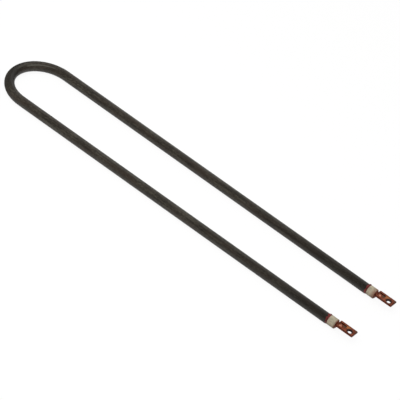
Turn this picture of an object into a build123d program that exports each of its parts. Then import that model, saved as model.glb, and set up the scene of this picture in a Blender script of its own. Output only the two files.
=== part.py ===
from build123d import *
import os

# Hairpin tubular heating element, lying flat, in millimetres.
# It is drawn with the bend's centre at the origin, the legs running towards +X and +Z up,
# and is moved at the end so that the middle of its bounding box's underside is the origin.

# Sheath: one tube, bent once
SHEATH_D = 8.5
SHEATH_WALL = 0.7
BEND_R = 28.8
LEG_LENGTH = 317.0
TOE_IN = 0.18
MOUTH_BREAK = 0.2

# Core: coil, cold pins and the powder round them, a little above the sheath's axis.
# The coil is drawn as its outer envelope.
CORE_RISE = 0.5
PIN_D = 3.2
COIL_WALL = 0.7
COLD_LENGTH = 55.0
COIL_GRIP = 12.0
PIN_CHAMFER = 0.3
PIN_PAST_POCKET = 0.9

# Silicone seal in the sheath's mouth, with the rim that stands between mouth and bushing
SEAL_DEPTH = 10.0
RIM_THICKNESS = 1.5
RIM_PROUD = 0.35

# Ceramic bushing, with a spigot inside the seal
BUSHING_D = 8.4
BUSHING_LENGTH = 7.0
SPIGOT_LENGTH = 5.0
SPIGOT_GAP = 0.15
PIN_GAP = 0.1
BUSHING_BREAK = 0.35

# Sealing resin on the bushing's outer face
RESIN_MARGIN = 0.2
RESIN_SKIN = 0.35
RESIN_NECK_D = 6.0
RESIN_NECK = 0.45
RESIN_BREAK = 0.3

# Copper tab, laid on the pin and welded in its pressed pocket
TAB_GAP = 0.2
TAB_LENGTH = 16.0
TAB_WIDTH = 8.7
TAB_THICKNESS = 1.2
TAB_CORNER = 0.8
TAB_EDGE_BREAK = 0.25
POCKET_START = 0.7
POCKET_LENGTH = 6.2
POCKET_WIDTH = 4.6
POCKET_DEPTH = 0.5
POCKET_CORNER = 0.5
NUGGET_START = 2.2
NUGGET_D = 2.6
NUGGET_HEIGHT = 0.35
HOLE_D = 3.5
HOLE_FROM_TIP = 4.3
HOLE_OFFSET = 1.1
HOLE_BREAK = 0.25

# Places along a leg, counted from the sheath's mouth
bushing_start = RIM_THICKNESS
bushing_end = bushing_start + BUSHING_LENGTH
resin_end = bushing_end + RESIN_SKIN + RESIN_NECK
tab_start = resin_end + TAB_GAP
tab_end = tab_start + TAB_LENGTH
pocket_start = tab_start + POCKET_START
pocket_end = pocket_start + POCKET_LENGTH
pin_end = pocket_end + PIN_PAST_POCKET

# Sizes that follow from the others
bore_d = SHEATH_D - 2 * SHEATH_WALL
coil_d = PIN_D + 2 * COIL_WALL
spigot_d = bore_d - 2 * (CORE_RISE + SPIGOT_GAP)
bushing_bore_d = PIN_D + 2 * PIN_GAP
tab_underside = PIN_D / 2
tab_top = tab_underside + TAB_THICKNESS
pocket_floor = tab_top - POCKET_DEPTH
pin_flat = tab_underside - POCKET_DEPTH


def leg_start(side):
    """Frame where a leg leaves the bend: X out along the leg, Z up."""
    turned = Location((0, 0, 0), (0, 0, -side * TOE_IN))
    return turned * Location((0, side * BEND_R, 0))


def mouth(side):
    """Frame on the core's axis at a leg's mouth: X out along the leg, Z up."""
    return leg_start(side) * Location((LEG_LENGTH, 0, CORE_RISE))


def rod(diameter, start, end):
    """Round bar along X."""
    section = Plane.YZ.offset(start) * Circle(diameter / 2)
    return extrude(section, amount=end - start)


def hairpin(diameter, end_inset, rise):
    """Round bar along both legs and the bend, stopping short of the mouths by end_inset."""
    section = Location((0, 0, rise)) * (Plane.YZ * Circle(diameter / 2))
    bar = revolve(leg_start(1) * section, Axis.Z, 180 + 2 * TOE_IN)
    for side in (-1, 1):
        bar += extrude(leg_start(side) * section, amount=LEG_LENGTH - end_inset)
    return bar


def turned_part(points, breaks):
    """Solid of revolution about X from (x, radius) points; breaks gives point index: chamfer."""
    profile = make_face(Polyline(*points, close=True))
    for index, size in breaks.items():
        corner = profile.vertices().sort_by_distance(points[index] + (0,))[0]
        profile = chamfer(corner, size)
    return revolve(profile, Axis.X)


def make_sheath():
    tube = hairpin(SHEATH_D, 0, 0) - hairpin(bore_d, 0, 0)
    rims = tube.edges().filter_by(GeomType.CIRCLE).group_by(Axis.X)[-1]
    outer_rims = rims.filter_by(lambda edge: edge.radius > bore_d / 2 + SHEATH_WALL / 2)
    return chamfer(outer_rims, MOUTH_BREAK)


def make_pin():
    bar = chamfer(rod(PIN_D, -COLD_LENGTH, pin_end).edges().filter_by(GeomType.CIRCLE), PIN_CHAMFER)
    flat = Box(
        pin_end - pocket_start,
        PIN_D,
        PIN_D,
        align=(Align.MIN, Align.CENTER, Align.MIN),
    )
    return bar - Location((pocket_start, 0, pin_flat)) * flat


def make_end_seal():
    plug = Location((0, 0, -CORE_RISE)) * rod(bore_d, -SEAL_DEPTH, 0)
    rim_d = BUSHING_D + 2 * RIM_PROUD
    rim = rod(rim_d, 0, RIM_THICKNESS)
    rim = chamfer(rim.edges().filter_by(GeomType.CIRCLE), RIM_PROUD)
    seal = plug + rim
    seal -= rod(PIN_D, -SEAL_DEPTH, 0)
    return seal - rod(spigot_d, -SPIGOT_LENGTH, RIM_THICKNESS)


def make_bushing():
    bore = bushing_bore_d / 2
    body = BUSHING_D / 2
    spigot = spigot_d / 2
    points = [
        (-SPIGOT_LENGTH, bore),
        (-SPIGOT_LENGTH, spigot),
        (bushing_start, spigot),
        (bushing_start, body),
        (bushing_end, body),
        (bushing_end, bore),
    ]
    return turned_part(points, {3: BUSHING_BREAK, 4: BUSHING_BREAK})


def make_outer_seal():
    skin = BUSHING_D / 2 - BUSHING_BREAK - RESIN_MARGIN
    points = [
        (bushing_end, PIN_D / 2),
        (bushing_end, skin),
        (bushing_end + RESIN_SKIN, skin),
        (bushing_end + RESIN_SKIN, RESIN_NECK_D / 2),
        (resin_end, RESIN_NECK_D / 2),
        (resin_end, PIN_D / 2),
    ]
    return turned_part(points, {2: RESIN_BREAK, 4: RESIN_BREAK})


def make_tab():
    middle = (tab_start + tab_end) / 2
    outline = Location((middle, 0)) * RectangleRounded(TAB_LENGTH, TAB_WIDTH, TAB_CORNER)
    plate = extrude(Location((0, 0, tab_underside)) * outline, amount=TAB_THICKNESS)
    top_edges = plate.edges().group_by(Axis.Z)[-1]
    plate = chamfer(top_edges, TAB_EDGE_BREAK)

    pocket_middle = (pocket_start + pocket_end) / 2
    pocket = Location((pocket_middle, 0)) * RectangleRounded(POCKET_LENGTH, POCKET_WIDTH, POCKET_CORNER)
    plate -= extrude(Location((0, 0, pocket_floor)) * pocket, amount=POCKET_DEPTH)
    plate += extrude(Location((0, 0, pin_flat)) * pocket, amount=POCKET_DEPTH)

    ball_r = (NUGGET_D**2 / 4 + NUGGET_HEIGHT**2) / (2 * NUGGET_HEIGHT)
    nugget_x = pocket_start + NUGGET_START
    ball = Location((nugget_x, 0, pocket_floor + NUGGET_HEIGHT - ball_r)) * Sphere(ball_r)
    above_floor = Location((nugget_x, 0, pocket_floor)) * Box(
        NUGGET_D,
        NUGGET_D,
        TAB_THICKNESS,
        align=(Align.CENTER, Align.CENTER, Align.MIN),
    )
    plate += ball & above_floor

    hole_centre = (tab_end - HOLE_FROM_TIP, -HOLE_OFFSET)
    hole = Location(hole_centre) * Circle(HOLE_D / 2)
    plate -= extrude(Location((0, 0, tab_underside)) * hole, amount=TAB_THICKNESS)
    rims = plate.edges().filter_by(GeomType.CIRCLE)
    entry = rims.filter_by(lambda edge: abs(edge.radius - HOLE_D / 2) < HOLE_BREAK).sort_by(Axis.Z)[-1]
    return chamfer(entry, HOLE_BREAK)


def without_pins(body):
    """Cut the two pins' places out of a body inside the sheath."""
    for side in (-1, 1):
        body -= mouth(side) * rod(PIN_D, -COLD_LENGTH, 0)
    return body

def make_coil():
    return without_pins(hairpin(coil_d, COLD_LENGTH - COIL_GRIP, CORE_RISE))

def make_magnesia():
    fill = hairpin(bore_d, SEAL_DEPTH, 0)
    fill -= hairpin(coil_d, COLD_LENGTH - COIL_GRIP, CORE_RISE)
    return without_pins(fill)


pieces = {
    "sheath": make_sheath(),
    "magnesia_filling": make_magnesia(),
    "resistance_coil": make_coil(),
}

terminal_group = {
    "terminal_pin": make_pin(),
    "end_seal": make_end_seal(),
    "ceramic_bushing": make_bushing(),
    "outer_seal": make_outer_seal(),
    "terminal_tab": make_tab(),
}
for side, side_name in ((-1, "right"), (1, "left")):
    for name, piece in terminal_group.items():
        pieces[f"{name}_{side_name}"] = mouth(side) * piece

bend_outside = -(BEND_R + SHEATH_D / 2)
tab_tip = (mouth(1) * Location((tab_end, TAB_WIDTH / 2 - TAB_CORNER, 0))).position.X
to_floor = Location((-(bend_outside + tab_tip) / 2, 0, SHEATH_D / 2))

os.makedirs("parts", exist_ok=True)
for name, piece in pieces.items():
    export_step(to_floor * piece, f"parts/{name}.step")
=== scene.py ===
"""Finishes, small formed pieces and stage for a hairpin tubular heating element."""

import math

import bmesh
import bpy
from bpy.props import FloatProperty, FloatVectorProperty, IntProperty, PointerProperty
from bpy.types import Operator, Panel, PropertyGroup
from mathutils import Matrix, Vector, noise


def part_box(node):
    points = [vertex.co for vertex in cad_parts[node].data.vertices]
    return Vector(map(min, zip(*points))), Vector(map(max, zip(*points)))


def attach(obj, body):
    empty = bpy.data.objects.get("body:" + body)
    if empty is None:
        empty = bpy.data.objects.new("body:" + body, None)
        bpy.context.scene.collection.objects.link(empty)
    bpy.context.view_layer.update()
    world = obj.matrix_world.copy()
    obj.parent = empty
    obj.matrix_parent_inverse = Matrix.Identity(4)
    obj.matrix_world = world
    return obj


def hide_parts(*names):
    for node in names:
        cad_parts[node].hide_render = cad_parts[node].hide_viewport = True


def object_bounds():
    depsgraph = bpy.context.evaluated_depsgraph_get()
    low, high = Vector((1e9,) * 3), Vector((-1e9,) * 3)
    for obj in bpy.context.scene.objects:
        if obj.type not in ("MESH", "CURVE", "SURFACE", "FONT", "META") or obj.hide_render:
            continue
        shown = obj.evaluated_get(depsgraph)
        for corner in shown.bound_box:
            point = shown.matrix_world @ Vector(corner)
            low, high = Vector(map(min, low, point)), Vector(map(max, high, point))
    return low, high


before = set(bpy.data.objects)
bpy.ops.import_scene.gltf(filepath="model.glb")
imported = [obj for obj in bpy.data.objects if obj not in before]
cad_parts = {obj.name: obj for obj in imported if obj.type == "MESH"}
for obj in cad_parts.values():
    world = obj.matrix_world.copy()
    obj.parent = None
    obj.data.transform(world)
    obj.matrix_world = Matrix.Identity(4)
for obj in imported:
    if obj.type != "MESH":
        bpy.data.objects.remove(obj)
cad_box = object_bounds()

bl_info = {
    "name": "Hairpin Heating Element",
    "version": (1, 0, 0),
    "blender": (4, 5, 0),
    "location": "View3D > Sidebar > Heater",
    "description": "Finishes a hairpin tubular heater and sets its stage",
    "category": "Object",
}

MM = 0.001
SIDES = {"right": -1, "left": 1}


# ---------------------------------------------------------------- places, read from the frame


def box_middle(node):
    low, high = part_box(node)
    return (low + high) / 2


class Hairpin:
    """Where the bend and the legs lie, in metres."""

    low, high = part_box("sheath")
    tube_r = (high.z - low.z) / 2
    bend_r = (high.y - low.y) / 2 - tube_r
    bend_x = low.x + bend_r + tube_r
    mouth_x = high.x
    axis_z = low.z + tube_r
    bushing = box_middle("ceramic_bushing_left")
    toe_in = (bend_r - bushing.y) / (bushing.x - bend_x)
    core_z = bushing.z
    core_rise = core_z - axis_z


def leg_place(side, x):
    """Matrix from a leg's own frame, X out along the core's axis from x, to the row's frame."""
    y = Hairpin.bend_r - Hairpin.toe_in * (x - Hairpin.bend_x)
    turn = Matrix.Rotation(-side * Hairpin.toe_in, 4, "Z")
    return Matrix.Translation((x, side * y, Hairpin.core_z)) @ turn


# ---------------------------------------------------------------- shader maths


class Signal:
    """A node's output socket; Python operators on it add Math nodes."""

    def __init__(self, nodes, socket):
        self.nodes = nodes
        self.socket = socket

    def maths(self, operation, *values):
        return self.nodes.node("ShaderNodeMath", {"operation": operation}, dict(enumerate(values)))

    def __add__(self, other):
        return self.maths("ADD", self, other)

    def __radd__(self, other):
        return self.maths("ADD", other, self)

    def __sub__(self, other):
        return self.maths("SUBTRACT", self, other)

    def __rsub__(self, other):
        return self.maths("SUBTRACT", other, self)

    def __mul__(self, other):
        return self.maths("MULTIPLY", self, other)

    def __rmul__(self, other):
        return self.maths("MULTIPLY", other, self)

    def __truediv__(self, other):
        return self.maths("DIVIDE", self, other)

    def __rtruediv__(self, other):
        return self.maths("DIVIDE", other, self)

    def __abs__(self):
        return self.maths("ABSOLUTE", self)

    def root(self):
        return self.maths("SQRT", self)

    def below(self, other):
        return self.maths("LESS_THAN", self, other)

    def larger(self, other):
        return self.maths("MAXIMUM", self, other)

    def smaller(self, other):
        return self.maths("MINIMUM", self, other)

    def ramp(self, start, end):
        """0 at start, 1 at end, smooth between."""
        settings = {"interpolation_type": "SMOOTHSTEP"}
        values = {"Value": self, "From Min": start, "From Max": end}
        return self.nodes.node("ShaderNodeMapRange", settings, values)


class Nodes:
    """A node tree that is built node by node."""

    def __init__(self, tree):
        self.tree = tree

    def node(self, kind, settings=None, values=None, output=0):
        node = self.tree.nodes.new(kind)
        for name, value in (settings or {}).items():
            if name == "stops":
                self.set_stops(node.color_ramp, value)
            else:
                setattr(node, name, value)
        for name, value in (values or {}).items():
            self.feed(node.inputs[name], value)
        return Signal(self, node.outputs[output])

    def feed(self, socket, value):
        if isinstance(value, Signal):
            self.tree.links.new(value.socket, socket)
        elif isinstance(value, tuple) and socket.type == "RGBA":
            socket.default_value = (*value, 1.0)
        else:
            socket.default_value = value

    @staticmethod
    def set_stops(ramp, stops):
        while len(ramp.elements) < len(stops):
            ramp.elements.new(1.0)
        for element, (position, colour) in zip(ramp.elements, stops):
            element.position = position
            element.color = (*colour, 1.0)

    def mix_shaders(self, amount, first, second):
        return self.node("ShaderNodeMixShader", values={0: amount, 1: first, 2: second})


class Paint(Nodes):
    """A material with one Principled shader; its places are in millimetres."""

    def __init__(self, name, **constants):
        self.material = bpy.data.materials.new(name)
        self.material.use_nodes = True
        super().__init__(self.material.node_tree)
        self.shader = self.tree.nodes["Principled BSDF"]
        for socket, value in constants.items():
            self.shader.inputs[socket.replace("_", " ")].default_value = value
        metres = self.node("ShaderNodeTexCoord", output="Object")
        values = {0: metres, "Scale": 1 / MM}
        self.place = self.node("ShaderNodeVectorMath", {"operation": "SCALE"}, values)
        parts = self.node("ShaderNodeSeparateXYZ", values={0: self.place}).socket.node
        self.x, self.y, self.z = [Signal(self, output) for output in parts.outputs]

    def join(self, x, y, z):
        return self.node("ShaderNodeCombineXYZ", values={0: x, 1: y, 2: z})

    def mix(self, amount, first, second):
        settings = {"data_type": "RGBA", "blend_type": "MIX"}
        return self.node("ShaderNodeMix", settings, {0: amount, 6: first, 7: second}, output=2)

    def noise(self, place, size, detail=3.0, roughness=0.5):
        """Noise whose features are about size millimetres across."""
        values = {"Vector": place, "Scale": 1 / size, "Detail": detail, "Roughness": roughness}
        return self.node("ShaderNodeTexNoise", values=values)

    def cells(self, place, size):
        return self.node("ShaderNodeTexVoronoi", values={"Vector": place, "Scale": 1 / size})

    def colour(self, signal, stops):
        """Colour that follows a signal; stops are (value, colour)."""
        return self.node("ShaderNodeValToRGB", {"stops": stops}, {"Fac": signal})

    def bump(self, height, depth, normal=None):
        """Normal of a height field; depth is in metres for a height of 1."""
        values = {"Height": height, "Strength": 1.0, "Distance": depth}
        if normal is not None:
            values["Normal"] = normal
        return self.node("ShaderNodeBump", values=values)

    def finish(self, colour=None, roughness=None, metallic=None, normal=None):
        sockets = {
            "Base Color": colour,
            "Roughness": roughness,
            "Metallic": metallic,
            "Normal": normal,
        }
        for name, signal in sockets.items():
            if signal is not None:
                self.feed(self.shader.inputs[name], signal)
        return self.material


def along_and_round(paint):
    """Millimetres along the tube, out from its axis in plan, and up from its axis.

    Along is 0 where the legs leave the bend, and falls to its least at the bend's middle.
    """
    tube = Hairpin
    forward = paint.x - tube.bend_x / MM
    aside = abs(paint.y)
    on_bend = forward.below(0.0)
    on_leg = 1.0 - on_bend
    bend_radius = (forward * forward + aside * aside).root()
    leg_radius = aside + forward * tube.toe_in
    out = bend_radius * on_bend + leg_radius * on_leg - tube.bend_r / MM
    bend_angle = paint.node("ShaderNodeMath", {"operation": "ARCTAN2"}, {0: forward, 1: aside})
    along = bend_angle * on_bend * (tube.bend_r / MM) + forward * on_leg
    return along, out, paint.z - tube.axis_z / MM


# ---------------------------------------------------------------- finishes


def outside_rectangle(x, y, middle, half_length, half_width):
    """Distance outwards from a rectangle's border, negative inside it."""
    return (abs(x - middle) - half_length).larger(abs(y) - half_width)


def distance(x, y, to_x, to_y):
    return ((x - to_x) * (x - to_x) + (y - to_y) * (y - to_y)).root()


class SheathWear:
    """Wear, darker oxide, painted shade and a painted highlight on the tube in millimetres; a bracketed
    pair is where it starts and where it is full.
    """

    bend_along = (-5.0, -14.0)
    right_half_along = (-4.0, -24.0)
    right_half_y = (6.0, -10.0)
    left_half_y = (4.0, 12.0)
    # Painted shade on the bend's outer side, more towards its left half
    crown_along = (-12.0, -34.0)
    crown_y = (-16.0, 2.0)
    outer_side = (-2.0, 2.0)
    # Painted highlight near the bend's top: its middle, out and up from the tube's axis, and how it
    # fades
    scuff_out, scuff_up = -2.6, 3.36
    scuff_fade = (0.85, 0.2)
    cold_ends = (0.45, 1.1)  # shares of a leg's length
    # Shares
    crown_strength = 0.55
    outer_roughness = 0.35
    outer_relief = 0.35
    # Darker oxide of the cold ends and the bend, and also the painted shade's colour
    burnt = (0.005, 0.0036, 0.0012)  # colour


def sheath_paint(style):
    wear = SheathWear
    paint = Paint("sheath_oxide", IOR=1.5, Specular_IOR_Level=style.gloss)
    along, out, up = along_and_round(paint)

    def stretched(stretch, offset=None):
        """Place for noise that is drawn out along the tube; an offset picks another pattern."""
        return paint.join(along / stretch, out, up if offset is None else up + offset)

    streaks = paint.noise(stretched(style.streak_length), style.streak_width, 4.0, 0.6)
    broad = paint.noise(stretched(12.0, offset=17.0), style.streak_width * 2.2)
    clouds = paint.noise(paint.place, style.cloud_size, 5.0, 0.6)
    mottle = paint.noise(stretched(2.2), style.mottle_size, 2.0)
    grain = paint.noise(paint.place, style.grain_size, 2.0)
    shade = streaks * 0.42 + broad * 0.06 + clouds * 0.1 + mottle * 0.34 + grain * 0.08
    stops = [(0.42, tuple(style.dark)), (0.5, tuple(style.middle)), (0.58, tuple(style.pale))]
    tone = paint.colour(shade, stops)
    bloom = paint.noise(stretched(6.0, offset=40.0), 4.5, 4.0, 0.65).ramp(0.44, 0.62)
    tone = paint.mix(bloom * 0.55, tone, tuple(style.warm))

    leg_length = (Hairpin.mouth_x - Hairpin.bend_x) / MM
    burnt = (along * (1 / leg_length)).ramp(*wear.cold_ends) * style.end_darkening
    outside = out.ramp(*wear.outer_side)
    right_half = along.ramp(*wear.right_half_along) * paint.y.ramp(*wear.right_half_y)
    right_half = right_half * (1.0 - outside * wear.outer_relief) * style.bend_darkening
    # Painted shade: the bend's outer side is darkened, more towards its left half
    crown = along.ramp(*wear.crown_along) * paint.y.ramp(*wear.crown_y) * outside
    burnt = burnt + right_half + crown * wear.crown_strength
    tone = paint.mix(burnt, tone, wear.burnt)

    on_bend = along.ramp(*wear.bend_along)
    # Painted highlight: a pale streak near the bend's top, on its left half
    scuff = distance(out, up, wear.scuff_out, wear.scuff_up).ramp(*wear.scuff_fade)
    scuff = scuff * on_bend * paint.y.ramp(*wear.left_half_y)
    scuff = scuff * (streaks.ramp(0.35, 0.6) * 0.5 + 0.4)
    tone = paint.mix(scuff, tone, tuple(style.scuff))

    roughness = 0.44 + clouds * 0.16 - streaks * 0.06
    roughness = roughness + on_bend * outside * wear.outer_roughness
    normal = paint.bump(streaks, 0.00004)
    normal = paint.bump(mottle, 0.00003, normal)
    normal = paint.bump(grain, 0.00002, normal)
    return paint.finish(tone, roughness, None, normal)


class CeramicMarks:
    """How far the stains reach in from a bushing's ends, in millimetres."""

    seal_rim = 1.5
    stain_right_row = 1.6
    stain_left_row = 2.6  # more than in the right row
    stain_full = 0.1
    smear = 0.9


def steatite_paint(style):
    marks = CeramicMarks
    paint = Paint("steatite", IOR=1.5, Specular_IOR_Level=0.15)
    clouds = paint.noise(paint.place, 3.2, 4.0, 0.55)
    scuffs = paint.noise(paint.join(paint.x / 5.0, paint.y, paint.z), 0.7, 3.0, 0.6)
    stops = [(0.35, tuple(style.shade)), (0.5, tuple(style.body)), (0.66, tuple(style.light))]
    tone = paint.colour(clouds * 0.6 + scuffs * 0.4, stops)
    specks = paint.cells(paint.place, 0.55).ramp(0.16, 0.05)
    tone = paint.mix(specks * 0.35, tone, tuple(style.speck))

    outer_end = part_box("ceramic_bushing_left")[1].x / MM
    left_row = paint.y.ramp(-1.0, 1.0)
    stain_start = outer_end - marks.stain_right_row - left_row * marks.stain_left_row
    stain = paint.x.ramp(stain_start, outer_end - marks.stain_full) * clouds.ramp(0.2, 0.5)
    tone = paint.mix(stain * 0.75, tone, tuple(style.stain))
    inner_end = Hairpin.mouth_x / MM + marks.seal_rim
    smear = paint.x.ramp(inner_end + marks.smear, inner_end) * clouds.ramp(0.65, 0.4)
    tone = paint.mix(smear * 0.75, tone, tuple(style.smear))

    fine = paint.noise(paint.place, 0.25)
    return paint.finish(tone, 0.5 + clouds * 0.2, None, paint.bump(fine, 0.00003))


def silicone_paint(style):
    paint = Paint("silicone", IOR=1.45, Specular_IOR_Level=0.25)
    clouds = paint.noise(paint.place, 1.6)
    tone = paint.colour(clouds, [(0.35, tuple(style.dark)), (0.65, tuple(style.body))])
    return paint.finish(tone, 0.35 + clouds * 0.2, None, paint.bump(clouds, 0.00012))


def resin_paint(style):
    paint = Paint("sealing_resin", IOR=1.5, Specular_IOR_Level=0.14)
    clouds = paint.noise(paint.place, 1.3, 4.0)
    stops = [
        (0.32, tuple(style.resin_dark)),
        (0.5, tuple(style.resin)),
        (0.68, tuple(style.resin_light)),
    ]
    tone = paint.colour(clouds, stops)
    return paint.finish(tone, 0.28 + clouds * 0.25, None, paint.bump(clouds, 0.0001))


def across_lug(paint):
    """Millimetres out along a lug from its inner end, and aside from its pin towards +Y."""
    inner_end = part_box("terminal_tab_left")[0].x / MM
    row = paint.y.maths("SIGN", paint.y)
    axis = (Hairpin.bend_r / MM) - (paint.x - Hairpin.bend_x / MM) * Hairpin.toe_in
    return paint.x - inner_end, paint.y - row * axis


class LugMarks:
    """Marks, painted shade and painted highlights on the copper in millimetres; a bracketed pair ends
    where the mark is strongest.

    A squash and a mark's own wander are shares.
    """

    wander = 2.4  # how far the marks' outlines stray
    border = (-1.3, -0.25)
    wall_inside, wall_outside = (-1.2, -0.2), (0.35, 0.05)
    # Painted highlight on the raised lip round the pocket
    lip_inside, lip_outside = (0.02, 0.3), (0.95, 0.5)
    # Painted highlight band between the pocket and the hole
    bronze_before_hole, bronze_aside, bronze_squash = 3.1, 1.2, 0.75
    bronze_fade = (2.4, 0.5)
    # Weld: bare copper with a painted highlight on it
    shine_aside, shine_wander = -1.1, 0.6
    shine_fade = (1.45, 0.2)
    # Painted shadow in the pocket's far corner, past the weld
    burn_past_weld, burn_aside = 2.7, 0.6
    burn_fade = (1.7, 0.5)
    tip_stain_in, tip_stain_aside = 0.9, 2.7
    tip_stain_fade = (2.4, 0.6)
    # Painted shade in and round the hole
    ring_back, ring_aside, ring_wander = 0.35, 0.35, 0.15


def copper_paint(style):
    marks = LugMarks
    paint = Paint("tarnished_copper", IOR=1.5, Specular_IOR_Level=0.15)
    out, aside = across_lug(paint)
    streaks = paint.noise(paint.join(paint.x / 25.0, paint.y, paint.z), 0.12)
    clouds = paint.noise(paint.place, 3.0, 4.0, 0.55)
    patches = paint.noise(paint.place, 1.3, 4.0, 0.6)
    stops = [
        (0.36, tuple(style.dark)),
        (0.47, tuple(style.body)),
        (0.56, tuple(style.rose)),
        (0.66, tuple(style.bright)),
    ]
    tone = paint.colour(clouds * 0.5 + patches * 0.38 + streaks * 0.12, stops)

    lug_length, lug_width = style.size
    half = lug_length / 2
    from_border = outside_rectangle(out, aside, half, half, lug_width / 2)
    # Darker within about a millimetre of the lug's outline
    border = from_border.ramp(*marks.border) * (patches.ramp(0.25, 0.55) * 0.5 + 0.5)
    tone = paint.mix(border * style.edge_tarnish, tone, tuple(style.dark))

    half_length, half_width = style.pocket[0] / 2, style.pocket[1] / 2
    pocket_middle = style.pocket_start + half_length
    from_pocket = outside_rectangle(out, aside, pocket_middle, half_length, half_width)
    # Painted shade on the pocket's walls
    wall = from_pocket.ramp(*marks.wall_inside) * from_pocket.ramp(*marks.wall_outside)
    tone = paint.mix(wall * 0.35, tone, tuple(style.soot))
    # Painted highlight along the raised lip just outside the pocket
    lip = from_pocket.ramp(*marks.lip_inside) * from_pocket.ramp(*marks.lip_outside)
    tone = paint.mix(lip * patches.ramp(0.35, 0.6) * 0.5, tone, tuple(style.bright))

    wander = (patches - 0.5) * marks.wander
    drift = (clouds - 0.5) * marks.wander
    hole_x = lug_length - style.hole_from_tip
    # Painted highlight: a bright bronze band between the pocket and the hole
    squashed = (aside + drift) * marks.bronze_squash
    band = distance(out + wander, squashed, hole_x - marks.bronze_before_hole, marks.bronze_aside)
    band = band.ramp(*marks.bronze_fade) * clouds.ramp(0.3, 0.55)
    tone = paint.mix(band * 0.75, tone, tuple(style.bronze))

    weld_x = style.pocket_start + style.weld_start
    along_weld = out + wander * marks.shine_wander
    across_weld = aside + drift * marks.shine_wander
    # Weld: bare copper with a painted highlight on it, pink near white
    shine = distance(along_weld, across_weld, weld_x, marks.shine_aside)
    tone = paint.mix(shine.ramp(*marks.shine_fade) * 0.92, tone, tuple(style.weld))
    # Painted shadow: a dark olive patch in the pocket's far corner, past the weld
    burn_x = weld_x + marks.burn_past_weld
    burn = distance(out + wander, aside + drift, burn_x, marks.burn_aside)
    burn = burn.ramp(*marks.burn_fade) * (patches.ramp(0.3, 0.6) * 0.4 + 0.6)
    tone = paint.mix(burn * 0.9, tone, tuple(style.burn))
    # Stain on the tip's corner, in the same colour
    tip_x = lug_length - marks.tip_stain_in
    tip = distance(out + wander, aside + drift, tip_x, marks.tip_stain_aside)
    tone = paint.mix(tip.ramp(*marks.tip_stain_fade) * 0.55, tone, tuple(style.burn))

    # Painted shade in and round the hole, centred a little inwards and towards +Y of it, with little
    # metal shine
    ring_y = marks.ring_aside - style.hole_offset
    from_hole = distance(out, aside, hole_x - marks.ring_back, ring_y) - style.hole_d / 2
    from_hole = from_hole + wander * marks.ring_wander
    ring = from_hole.ramp(style.ring_width, style.ring_width / 2)
    tone = paint.mix(ring * 0.93, tone, tuple(style.soot))

    roughness = 0.22 + patches * 0.25 + burn * 0.2
    metallic = 0.95 - burn * 0.5 - ring * 0.9
    normal = paint.bump(streaks, 0.000008)
    normal = paint.bump(patches, 0.00003, normal)
    return paint.finish(tone, roughness, metallic, normal)


def steel_paint():
    paint = Paint("pin_steel", Metallic=1.0)
    drawn = paint.noise(paint.join(paint.x / 12.0, paint.y, paint.z), 0.25)
    clouds = paint.noise(paint.place, 1.8, 4.0, 0.6)
    stops = [(0.36, (0.12, 0.1, 0.082)), (0.5, (0.17, 0.152, 0.135)), (0.66, (0.235, 0.218, 0.2))]
    tone = paint.colour(drawn * 0.4 + clouds * 0.6, stops)
    return paint.finish(tone, 0.34 + clouds * 0.25, None, paint.bump(drawn, 0.000006))


def powder_paint():
    paint = Paint("magnesia", Roughness=0.9)
    grain = paint.noise(paint.place, 0.3, 4.0)
    tone = paint.colour(grain, [(0.3, (0.6, 0.58, 0.53)), (0.7, (0.8, 0.78, 0.74))])
    return paint.finish(tone, None, None, paint.bump(grain, 0.00005))


def wire_paint():
    paint = Paint("coil_alloy", Metallic=1.0)
    values = {"Vector": paint.place, "Scale": 0.5}
    turns = paint.node("ShaderNodeTexWave", {"bands_direction": "X"}, values)
    tone = paint.colour(turns, [(0.2, (0.12, 0.11, 0.1)), (0.8, (0.4, 0.38, 0.35))])
    return paint.finish(tone, 0.35 + turns * 0.2, None, paint.bump(turns, 0.0001))


def give_material(obj, material):
    obj.data.materials.clear()
    obj.data.materials.append(material)


# ---------------------------------------------------------------- formed pieces


class Waves:
    """Sizes of the uneven surfaces' waves, in metres."""

    ceramic = 0.0022
    rim = 0.0016
    lap = 0.0021
    bead = 0.0013
    press = 0.0025
    weld = 0.0014


class Seeds:
    """Each is multiplied by the side, so that the two rows differ."""

    ceramic = 1
    rim = 3.1
    lap = 7.7
    bead = 5.3
    press = 2.3
    weld = 1.7


def spun_ring(steps, outline):
    """Closed ring about X: outline is a loop of (x, radius) points, in metres."""
    mesh = bmesh.new()
    corners = [mesh.verts.new((x, 0.0, radius)) for x, radius in outline]
    loop = [mesh.edges.new((a, b)) for a, b in zip(corners, corners[1:] + corners[:1])]
    bmesh.ops.spin(
        mesh,
        geom=corners + loop,
        cent=(0, 0, 0),
        axis=(1, 0, 0),
        dvec=(0, 0, 0),
        angle=math.tau,
        steps=steps,
        use_merge=True,
    )
    bmesh.ops.remove_doubles(mesh, verts=mesh.verts, dist=1e-7)
    bmesh.ops.recalc_face_normals(mesh, faces=mesh.faces)
    # Spin leaves its faces in an order that changes from run to run
    mesh.verts.index_update()
    mesh.faces.sort(key=lambda face: face.verts[0].index)
    return mesh


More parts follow.
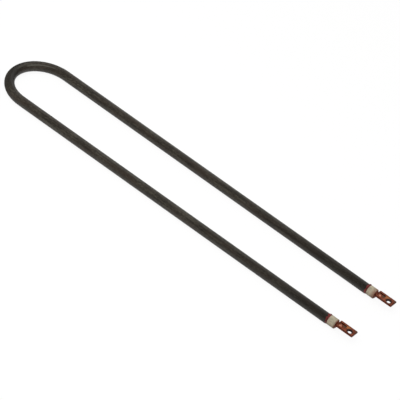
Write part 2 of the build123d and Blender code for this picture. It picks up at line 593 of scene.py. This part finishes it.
def softened(node, voxel, passes):
    """Mesh of a copy of a CAD node with its edges made soft."""
    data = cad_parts[node].data.copy()
    mesh = bmesh.new()
    mesh.from_mesh(data)
    bmesh.ops.remove_doubles(mesh, verts=mesh.verts, dist=1e-6)
    mesh.to_mesh(data)
    mesh.free()
    blank = bpy.data.objects.new("blank", data)
    bpy.context.scene.collection.objects.link(blank)
    remesh = blank.modifiers.new("remesh", "REMESH")
    remesh.mode = "VOXEL"
    remesh.voxel_size = voxel
    depsgraph = bpy.context.evaluated_depsgraph_get()
    remeshed = bpy.data.meshes.new_from_object(blank.evaluated_get(depsgraph))
    bpy.data.objects.remove(blank)
    mesh = bmesh.new()
    mesh.from_mesh(remeshed)
    axes = {"use_axis_x": True, "use_axis_y": True, "use_axis_z": True}
    for _ in range(passes):
        bmesh.ops.smooth_vert(mesh, verts=mesh.verts, factor=0.5, **axes)
    bmesh.ops.recalc_face_normals(mesh, faces=mesh.faces)
    mesh.normal_update()
    return mesh


def unevenness(point, size, seed):
    """Smooth noise from -1 to 1."""
    return noise.noise(point / size + Vector((seed, seed * 0.37, seed * 0.71)))


def press_inwards(mesh, above, depth, size, seed):
    """Uneven hollows in what lies further from the X axis than above."""
    for vertex in mesh.verts:
        radius = math.hypot(vertex.co.y, vertex.co.z)
        if radius > above:
            hollow = 0.5 + 0.5 * unevenness(vertex.co, size, seed)
            reach = 1 - depth * hollow * min(1.0, (radius - above) / depth / 2) / radius
            vertex.co.y *= reach
            vertex.co.z *= reach


def smooth_step(value, start, end):
    """0 at start, 1 at end, smooth between."""
    part = min(1.0, max(0.0, (value - start) / (end - start)))
    return part * part * (3 - 2 * part)


def add_piece(name, mesh, material, node):
    """Make a visible piece that takes a CAD node's place."""
    data = bpy.data.meshes.new(name)
    mesh.to_mesh(data)
    mesh.free()
    for face in data.polygons:
        face.use_smooth = True
    piece = bpy.data.objects.new(name, data)
    bpy.context.scene.collection.objects.link(piece)
    give_material(piece, material)
    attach(piece, "root")
    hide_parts(node)


# ---------------------------------------------------------------- what a user would change


def colour_property(name, description, default):
    return FloatVectorProperty(
        name=name,
        description=description,
        default=default,
        subtype="COLOR",
        size=3,
        min=0,
        max=1,
    )


def pair_property(name, description, default):
    return FloatVectorProperty(name=name, description=description, default=default, size=2)


def number_property(name, description, default):
    return FloatProperty(name=name, description=description, default=default)


def count_property(name, description, default):
    return IntProperty(name=name, description=description, default=default)


def length_property(name, description, default):
    return FloatProperty(
        name=name, description=description, default=default, unit="LENGTH", precision=5
    )


def angle_property(name, description, degrees):
    return FloatProperty(
        name=name, description=description, default=math.radians(degrees), subtype="ANGLE"
    )


class HeaterSheathStyle(PropertyGroup):
    dark: colour_property("Dark", "Darkest of the sheath's oxide", (0.0135, 0.0105, 0.0066))
    middle: colour_property("Middle", "The sheath's oxide", (0.03, 0.025, 0.0172))
    pale: colour_property("Pale", "Palest of the sheath's oxide", (0.06, 0.053, 0.0385))
    warm: colour_property("Warm", "Brown bloom on the oxide", (0.034, 0.0215, 0.0135))
    # Colour of the painted highlight on the bend
    scuff: colour_property("Scuff", "Pale scuff along the bend's left half", (0.09, 0.087, 0.071))
    gloss: number_property("Gloss", "Specular level of the oxide", 0.42)
    streak_length: number_property("Streak length", "Drawing streaks, length over width", 18)
    streak_width: number_property("Streak width", "Width of drawing streaks in mm", 1.4)
    cloud_size: number_property("Cloud size", "Size of oxide clouds in mm", 7)
    mottle_size: number_property("Mottle size", "Size of oxide mottling in mm", 0.95)
    grain_size: number_property("Grain size", "Size of oxide grain in mm", 0.35)
    bend_darkening: number_property("Bend darkening", "Darkening on the bend's right half", 0.85)
    end_darkening: number_property("End darkening", "How much darker the cold ends are", 0.72)


class HeaterCeramicStyle(PropertyGroup):
    body: colour_property("Body", "Unglazed ceramic", (0.4, 0.355, 0.262))
    shade: colour_property("Shade", "Greyer ceramic", (0.3, 0.28, 0.205))
    light: colour_property("Light", "Paler ceramic", (0.49, 0.42, 0.305))
    speck: colour_property("Speck", "Dark specks", (0.2, 0.16, 0.11))
    fineness: length_property("Fineness", "Mesh size", 0.00015)
    softness: count_property("Softness", "Smoothing passes on the edges", 5)
    unevenness: length_property("Unevenness", "Hollows of the fired surface", 0.00002)
    stain: colour_property("Stain", "Resin soaked into the outer rim", (0.19, 0.058, 0.03))
    smear: colour_property("Smear", "Silicone smeared on the inner rim", (0.46, 0.21, 0.16))


class HeaterSealStyle(PropertyGroup):
    body: colour_property("Silicone", "Red silicone", (0.17, 0.026, 0.024))
    dark: colour_property("Silicone shade", "Dark red silicone", (0.075, 0.011, 0.011))
    resin: colour_property("Resin", "Sealing resin", (0.15, 0.03, 0.015))
    resin_dark: colour_property("Resin shade", "Dark sealing resin", (0.055, 0.012, 0.006))
    resin_light: colour_property("Resin light", "Pale sealing resin", (0.25, 0.075, 0.045))
    unevenness: length_property("Unevenness", "Hollows in the seals", 0.0003)
    lap: length_property("Lap", "Silicone squeezed over the sheath", 0.0011)
    rim_round: length_property("Rim round", "Rounding of the rim", 0.00045)
    sheath_wall: length_property("Sheath wall", "Wall round the plug", 0.0007)
    rim_points: count_property("Rim points", "Points across each rim", 10)
    steps: count_property("Steps", "Faces round each seal", 144)


class HeaterLugStyle(PropertyGroup):
    dark: colour_property("Dark", "Dark tarnish", (0.085, 0.018, 0.008))
    body: colour_property("Body", "Tarnished copper", (0.185, 0.044, 0.018))
    bright: colour_property("Bright", "Bright copper", (0.38, 0.12, 0.055))
    rose: colour_property("Rose", "Rosy copper", (0.25, 0.068, 0.036))
    # Bare copper of the weld, with a painted highlight on it
    weld: colour_property("Weld", "Bare copper on the weld", (0.95, 0.45, 0.31))
    # Colour of the painted shadow in the pocket, and of the stain at the tip
    burn: colour_property("Burn", "Heat stain beyond the weld", (0.07, 0.06, 0.04))
    # Colour of the painted highlight between the pocket and the hole
    bronze: colour_property("Bronze", "Yellow tarnish between pocket and hole", (0.42, 0.16, 0.05))
    # Painted shade colour, for the pocket's walls and in and round the hole
    soot: colour_property("Soot", "Darkest tarnish, in the pocket and the hole", (0.013, 0.0035, 0.0025))
    size: pair_property("Size", "Length and width in mm", (16, 8.7))
    pocket: pair_property("Pocket", "Pocket's length and width in mm", (6.2, 4.6))
    pocket_start: number_property("Pocket place", "Pocket from the inner end in mm", 0.7)
    weld_start: number_property("Weld place", "Weld from the pocket's inner end in mm", 2.2)
    hole_d: number_property("Hole", "Hole's diameter in mm", 3.5)
    hole_from_tip: number_property("Hole place", "Hole's middle from the tip in mm", 4.3)
    hole_offset: number_property("Hole offset", "Hole's middle aside from the pin in mm", 1.1)
    # Width of the painted shade round the hole
    ring_width: number_property("Hole ring", "Width of dark tarnish round the hole in mm", 1.3)
    edge_tarnish: number_property("Edge tarnish", "Darkening along the lug's edges", 0.7)
    fineness: length_property("Fineness", "Mesh size", 0.0001)
    softness: count_property("Softness", "Smoothing passes on the edges", 3)
    lip: length_property("Lip", "Metal raised round the pocket", 0.00014)
    spread: length_property("Spread", "Metal pressed out at the outline", 0.00007)
    weld_ripple: length_property("Weld ripple", "Roughness of the weld", 0.00016)
    unevenness: length_property("Unevenness", "Waves left by the press", 0.00004)


class HeaterStageStyle(PropertyGroup):
    azimuth: angle_property("Azimuth", "Camera round the part", 25.89)
    elevation: angle_property("Elevation", "Camera above the floor", 38.19)
    roll: angle_property("Roll", "Camera about its own axis", 18.64)
    distance: length_property("Distance", "Camera to its aim", 1.9767)
    aim: FloatVectorProperty(
        name="Aim",
        description="Aim point, from the bend's centre",
        default=(0.16799, -0.00063, -0.00029),
        subtype="XYZ",
        unit="LENGTH",
    )
    lens: number_property("Lens", "Focal length in mm", 223.0)
    white: colour_property("Background", "Floor and backdrop", (1.0, 1.0, 1.0))
    ambient: number_property("Ambient", "Strength of the room's light", 0.9)
    front: number_property("Front", "What the room's dim sides keep of their brightness", 0.22)
    shadow: number_property("Shadow", "How much of the floor takes shadow", 0.08)
    bounce: number_property("Bounce", "How much plain light the floor returns", 0.5)
    key: FloatProperty(
        name="Key", description="Power of the large soft lamp", default=6.0, unit="POWER"
    )


# ---------------------------------------------------------------- operators


class HEATER_OT_sheath(Operator):
    """Give the sheath its dark drawn oxide"""

    bl_idname = "heater.sheath"
    bl_label = "Finish Sheath"

    def execute(self, context):
        give_material(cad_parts["sheath"], sheath_paint(context.scene.heater_sheath))
        return {"FINISHED"}


class HEATER_OT_core(Operator):
    """Finish the powder and the coil inside the sheath"""

    bl_idname = "heater.core"
    bl_label = "Finish Core"

    def execute(self, context):
        give_material(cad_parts["magnesia_filling"], powder_paint())
        give_material(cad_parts["resistance_coil"], wire_paint())
        return {"FINISHED"}


class HEATER_OT_end_seals(Operator):
    """Form the silicone seals, with rims squeezed out over the sheath's mouth"""

    bl_idname = "heater.end_seals"
    bl_label = "Form End Seals"

    left_lap = 0.6  # the left row's share of the lap
    lap_lift = 0.00003  # the lap above the sheath, in metres
    tongue_mean, tongue_waves = 0.2, 1.3  # shares of the lap
    underside = (-0.85, -0.3)  # height over radius, from no lap to full lap
    # Shares of the tube's radius where the rim's face starts, what laps over and what is pressed
    face_from = 0.97
    lap_from = 0.96
    pressed_from = 0.9

    def execute(self, context):
        style = context.scene.heater_seal
        silicone = silicone_paint(style)
        for name, side in SIDES.items():
            node = f"end_seal_{name}"
            mesh = self.form_rim(style, node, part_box(f"terminal_pin_{name}"))
            above = Hairpin.tube_r * self.pressed_from
            press_inwards(mesh, above, style.unevenness, Waves.rim, side * Seeds.rim)
            lap = style.lap if side < 0 else style.lap * self.left_lap
            self.lap_over_sheath(mesh, lap, side * Seeds.lap)
            bmesh.ops.transform(mesh, matrix=leg_place(side, Hairpin.mouth_x), verts=mesh.verts)
            add_piece(f"silicone_seal_{name}", mesh, silicone, node)
        return {"FINISHED"}

    def form_rim(self, style, node, pin_box):
        """Plug in the sheath's mouth and round-edged rim outside it, about the core's axis."""
        low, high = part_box(node)
        rim_r = (high.z - low.z) / 2
        thick = high.x - Hairpin.mouth_x
        hole_r = (pin_box[1].z - pin_box[0].z) / 2
        plug_r = Hairpin.tube_r - style.sheath_wall - Hairpin.core_rise
        outline = [
            (low.x - Hairpin.mouth_x, hole_r),
            (low.x - Hairpin.mouth_x, plug_r),
            (0.0, plug_r),
            (0.0, Hairpin.tube_r * self.face_from),
        ]
        for share in range(style.rim_points + 1):
            turned = math.pi * share / style.rim_points
            x = thick * (1 - math.cos(turned)) / 2
            outline.append((x, rim_r - style.rim_round * (1 - math.sin(turned))))
        outline.append((thick, hole_r))
        return spun_ring(style.steps, outline)

    def lap_over_sheath(self, mesh, lap, seed):
        """Pull the rim's inner edge back over the sheath in tongues, but not underneath."""
        around = Vector((0, 1, 1))
        clear = Hairpin.tube_r + self.lap_lift
        for vertex in mesh.verts:
            radius = math.hypot(vertex.co.y, vertex.co.z)
            if radius < Hairpin.tube_r * self.lap_from or vertex.co.x > lap:
                continue
            upper = smooth_step(vertex.co.z / radius, *self.underside)
            waves = self.tongue_waves * unevenness(vertex.co * around, Waves.lap, seed)
            flow = (self.tongue_mean + waves) * upper
            vertex.co.x -= lap * max(0.0, flow) * (1 - vertex.co.x / lap)
            from_axis = math.hypot(vertex.co.y, vertex.co.z + Hairpin.core_rise)
            if vertex.co.x < 0 and from_axis < clear:
                vertex.co.y *= clear / from_axis
                lifted = (vertex.co.z + Hairpin.core_rise) * clear / from_axis
                vertex.co.z = lifted - Hairpin.core_rise


class HEATER_OT_bushings(Operator):
    """Form the two unglazed ceramic bushings with soft fired edges"""

    bl_idname = "heater.bushings"
    bl_label = "Form Bushings"

    def execute(self, context):
        style = context.scene.heater_ceramic
        ceramic = steatite_paint(style)
        for name, side in SIDES.items():
            node = f"ceramic_bushing_{name}"
            mesh = softened(node, style.fineness, style.softness)
            for vertex in mesh.verts:
                hollow = 1 + unevenness(vertex.co, Waves.ceramic, side * Seeds.ceramic)
                vertex.co -= vertex.normal * style.unevenness * hollow
            add_piece(f"steatite_bushing_{name}", mesh, ceramic, node)
        return {"FINISHED"}


class HEATER_OT_outer_seals(Operator):
    """Form the resin beads on the bushings' outer faces"""

    bl_idname = "heater.outer_seals"
    bl_label = "Form Outer Seals"

    # Profile as shares of the bead's length and of its skin's radius
    skin = ((0.0, 1.0), (0.25, 0.99), (0.42, 0.93))
    neck_x, neck_radius = 0.45, 0.82
    neck_end = 0.72  # share of the neck's radius at its outer end
    hollows = 1.3  # share of the silicone's unevenness
    pressed_from = 1.2  # share of the hole's radius

    def execute(self, context):
        style = context.scene.heater_seal
        resin = resin_paint(style)
        for name, side in SIDES.items():
            node = f"outer_seal_{name}"
            low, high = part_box(node)
            pin_low, pin_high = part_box(f"terminal_pin_{name}")
            hole_r = (pin_high.z - pin_low.z) / 2
            mesh = self.form_bead(style, high.x - low.x, hole_r, (high.z - low.z) / 2)
            above, depth = hole_r * self.pressed_from, style.unevenness * self.hollows
            press_inwards(mesh, above, depth, Waves.bead, side * Seeds.bead)
            bmesh.ops.transform(mesh, matrix=leg_place(side, low.x), verts=mesh.verts)
            add_piece(f"resin_bead_{name}", mesh, resin, node)
        return {"FINISHED"}

    def form_bead(self, style, long, hole_r, skin_r):
        """Thin skin on the bushing, then a neck that rounds in towards the pin."""
        outline = [(0.0, hole_r)] + [(long * x, skin_r * radius) for x, radius in self.skin]
        neck_r = skin_r * self.neck_radius
        for share in range(style.rim_points + 1):
            turned = math.pi / 2 * share / style.rim_points
            x = self.neck_x + (1 - self.neck_x) * math.sin(turned)
            radius = self.neck_end + (1 - self.neck_end) * math.cos(turned)
            outline.append((long * x, neck_r * radius))
        outline.append((long, hole_r))
        return spun_ring(style.steps, outline)


class HEATER_OT_lugs(Operator):
    """Form the stamped copper lugs with pressed pocket and weld, and finish the pins"""

    bl_idname = "heater.lugs"
    bl_label = "Form Lugs"

    # Where the shapes fade, in millimetres or as the normal's upward part
    hole_wall = (0.4, 0.2)
    upright = (0.8, 0.3)
    top = 0.2
    lip_inside, lip_outside = (-0.1, 0.15), (0.9, 0.25)
    weld = (2.2, 1.1)

    def execute(self, context):
        style = context.scene.heater_lug
        copper = copper_paint(style)
        steel = steel_paint()
        for name, side in SIDES.items():
            node = f"terminal_tab_{name}"
            mesh = softened(node, style.fineness, style.softness)
            low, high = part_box(node)
            from_lug = leg_place(side, low.x).inverted()
            for vertex in mesh.verts:
                self.work(vertex, from_lug @ vertex.co / MM, style, side)
                vertex.co = [min(max(value, a), b) for value, a, b in zip(vertex.co, low, high)]
            add_piece(f"stamped_lug_{name}", mesh, copper, node)
            give_material(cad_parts[f"terminal_pin_{name}"], steel)
        return {"FINISHED"}

    def work(self, vertex, place, style, side):
        """Push one point as the press, the weld and handling leave it."""
        push = style.unevenness * unevenness(vertex.co, Waves.press, side * Seeds.press)
        hole = Vector((style.size[0] - style.hole_from_tip, -style.hole_offset))
        from_hole = (place.xy - hole).length - style.hole_d / 2
        in_hole = smooth_step(from_hole, *self.hole_wall)
        push += style.spread * (1 + in_hole) * smooth_step(abs(vertex.normal.z), *self.upright)
        if vertex.normal.z > self.top:
            middle = style.pocket_start + style.pocket[0] / 2
            ahead = abs(place.x - middle) - style.pocket[0] / 2
            from_pocket = max(ahead, abs(place.y) - style.pocket[1] / 2)
            lip = smooth_step(from_pocket, *self.lip_inside)
            push += style.lip * lip * smooth_step(from_pocket, *self.lip_outside)
            weld = Vector((style.pocket_start + style.weld_start, 0.0))
            lump = 0.5 + unevenness(vertex.co, Waves.weld, side * Seeds.weld)
            near_weld = smooth_step((place.xy - weld).length, *self.weld)
            push += style.weld_ripple * lump * near_weld
        vertex.co += vertex.normal * push


# Sides of the room that are dim: towards where, and how squarely the dimming starts and is full
DIM_SIDES = (((-0.15, -0.82, 0.48), 0.0, 0.5), ((0.75, 0.55, 0.35), 0.4, 0.9))
UNDIMMED = 0.55  # share of the room's plain light that no side dims


def seen_or_plain(nodes, seen, plain):
    """One look for camera, glossy and transmission rays, and another that lights the rest."""
    rays = ["Is Camera Ray", "Is Glossy Ray", "Is Transmission Ray"]
    camera, glossy, through = [nodes.node("ShaderNodeLightPath", output=ray) for ray in rays]
    settings = {"operation": "ADD", "use_clamp": True}
    share = nodes.node("ShaderNodeMath", settings, {0: camera, 1: glossy + through})
    return nodes.mix_shaders(share, plain, seen)


def room_light(nodes, style):
    """White to the camera; dim sides for reflections and, less so, for plain light."""
    direction = nodes.node("ShaderNodeTexCoord", output="Generated")
    sides = []
    for towards, start, end in DIM_SIDES:
        values = {0: direction, 1: towards}
        facing = nodes.node(
            "ShaderNodeVectorMath", {"operation": "DOT_PRODUCT"}, values, output="Value"
        )
        values = {
            "Value": facing,
            "From Min": start,
            "From Max": end,
            "To Min": 1.0,
            "To Max": style.front,
        }
        sides.append(nodes.node("ShaderNodeMapRange", {"interpolation_type": "SMOOTHSTEP"}, values))
    dim = sides[0].smaller(sides[1])
    to_eye = nodes.node("ShaderNodeLightPath", output="Is Camera Ray").larger(dim)
    dimmed, always = style.ambient * (1 - UNDIMMED), style.ambient * UNDIMMED
    white = tuple(style.white)
    seen = nodes.node("ShaderNodeBackground", values={"Color": white, "Strength": to_eye})
    strength = dim.maths("MULTIPLY_ADD", dim, dimmed, always)
    plain = nodes.node("ShaderNodeBackground", values={"Color": white, "Strength": strength})
    return seen_or_plain(nodes, seen, plain)


def floor_light(nodes, style):
    """White with a faint shadow on top, dull for the light it returns, and clear underneath."""
    surface = nodes.tree.nodes["Principled BSDF"]
    surface.inputs["Base Color"].default_value = (*style.white, 1.0)
    surface.inputs["Roughness"].default_value = 1.0
    surface.inputs["Specular IOR Level"].default_value = 0.0
    white = nodes.node("ShaderNodeEmission", values={"Color": tuple(style.white), "Strength": 1.0})
    seen = nodes.mix_shaders(style.shadow, white, Signal(nodes, surface.outputs[0]))
    returned = tuple(value * style.bounce for value in style.white)
    dull = nodes.node("ShaderNodeBsdfDiffuse", values={"Color": returned})
    above = seen_or_plain(nodes, seen, dull)
    underneath = nodes.node("ShaderNodeNewGeometry", output="Backfacing")
    clear = nodes.node("ShaderNodeBsdfTransparent")
    return nodes.mix_shaders(underneath, above, clear)


class HEATER_OT_stage(Operator):
    """Lay the white floor, hang the soft lamp and set the camera"""

    bl_idname = "heater.stage"
    bl_label = "Set Stage"

    floor_half = 3.0
    lamp_offset = (-0.15, -0.35, 0.9)
    lamp_size = 0.9
    lamp_colour = (1.0, 0.985, 0.96)

    def execute(self, context):
        style = context.scene.heater_stage
        self.set_world(context, style)
        self.lay_floor(context, style)
        self.hang_lamp(context, style)
        self.set_camera(context, style)
        context.scene.view_settings.view_transform = "Standard"
        return {"FINISHED"}

    def set_world(self, context, style):
        world = bpy.data.worlds.new("room")
        world.use_nodes = True
        context.scene.world = world
        nodes = Nodes(world.node_tree)
        output = nodes.tree.nodes["World Output"]
        nodes.feed(output.inputs["Surface"], room_light(nodes, style))

    def lay_floor(self, context, style):
        mesh = bmesh.new()
        bmesh.ops.create_grid(mesh, x_segments=1, y_segments=1, size=self.floor_half)
        data = bpy.data.meshes.new("floor")
        mesh.to_mesh(data)
        mesh.free()
        floor = bpy.data.objects.new("floor", data)
        context.scene.collection.objects.link(floor)
        material = bpy.data.materials.new("pale_floor")
        material.use_nodes = True
        nodes = Nodes(material.node_tree)
        output = nodes.tree.nodes["Material Output"]
        nodes.feed(output.inputs["Surface"], floor_light(nodes, style))
        give_material(floor, material)

    def hang_lamp(self, context, style):
        low, high = cad_box
        middle = Vector([(a + b) / 2 for a, b in zip(low, high)])
        offset = Vector(self.lamp_offset)
        data = bpy.data.lights.new("soft_key", "AREA")
        data.shape = "SQUARE"
        data.size = self.lamp_size
        data.energy = style.key
        data.color = self.lamp_colour
        lamp = bpy.data.objects.new("soft_key", data)
        lamp.location = middle + offset
        lamp.rotation_euler = (-offset).to_track_quat("-Z", "Y").to_euler()
        lamp.visible_glossy = False
        context.scene.collection.objects.link(lamp)

    def set_camera(self, context, style):
        az, el, roll = style.azimuth, style.elevation, style.roll
        back = Vector((math.sin(az) * math.cos(el), -math.cos(az) * math.cos(el), math.sin(el)))
        level = Vector((math.cos(az), math.sin(az), 0))
        upright = back.cross(level)
        right = level * math.cos(roll) + upright * math.sin(roll)
        up = upright * math.cos(roll) - level * math.sin(roll)
        aim = Vector(style.aim) + Vector((Hairpin.bend_x, 0, Hairpin.axis_z))
        turn = Matrix((right, up, back)).transposed().to_4x4()
        data = bpy.data.cameras.new("camera")
        data.lens = style.lens
        data.clip_end = 100
        camera = bpy.data.objects.new("camera", data)
        camera.matrix_world = Matrix.Translation(aim + back * style.distance) @ turn
        context.scene.collection.objects.link(camera)
        context.scene.camera = camera


# ---------------------------------------------------------------- panel and run

STYLES = {
    "heater_sheath": HeaterSheathStyle,
    "heater_ceramic": HeaterCeramicStyle,
    "heater_seal": HeaterSealStyle,
    "heater_lug": HeaterLugStyle,
    "heater_stage": HeaterStageStyle,
}

OPERATORS = (
    HEATER_OT_sheath,
    HEATER_OT_core,
    HEATER_OT_end_seals,
    HEATER_OT_bushings,
    HEATER_OT_outer_seals,
    HEATER_OT_lugs,
    HEATER_OT_stage,
)


class HEATER_PT_panel(Panel):
    bl_label = "Heating Element"
    bl_idname = "HEATER_PT_panel"
    bl_space_type = "VIEW_3D"
    bl_region_type = "UI"
    bl_category = "Heater"

    def draw(self, context):
        for operator in OPERATORS:
            self.layout.operator(operator.bl_idname)
        for name, style in STYLES.items():
            box = self.layout.box()
            settings = getattr(context.scene, name)
            for key in style.__annotations__:
                box.prop(settings, key)


def register():
    for kind in (*STYLES.values(), *OPERATORS, HEATER_PT_panel):
        bpy.utils.register_class(kind)
    for name, style in STYLES.items():
        setattr(bpy.types.Scene, name, PointerProperty(type=style))


def unregister():
    for name in STYLES:
        delattr(bpy.types.Scene, name)
    for kind in reversed((*STYLES.values(), *OPERATORS, HEATER_PT_panel)):
        bpy.utils.unregister_class(kind)


def main():
    register()
    for operator in OPERATORS:
        group, name = operator.bl_idname.split(".")
        getattr(getattr(bpy.ops, group), name)()


if __name__ == "__main__":
    main()
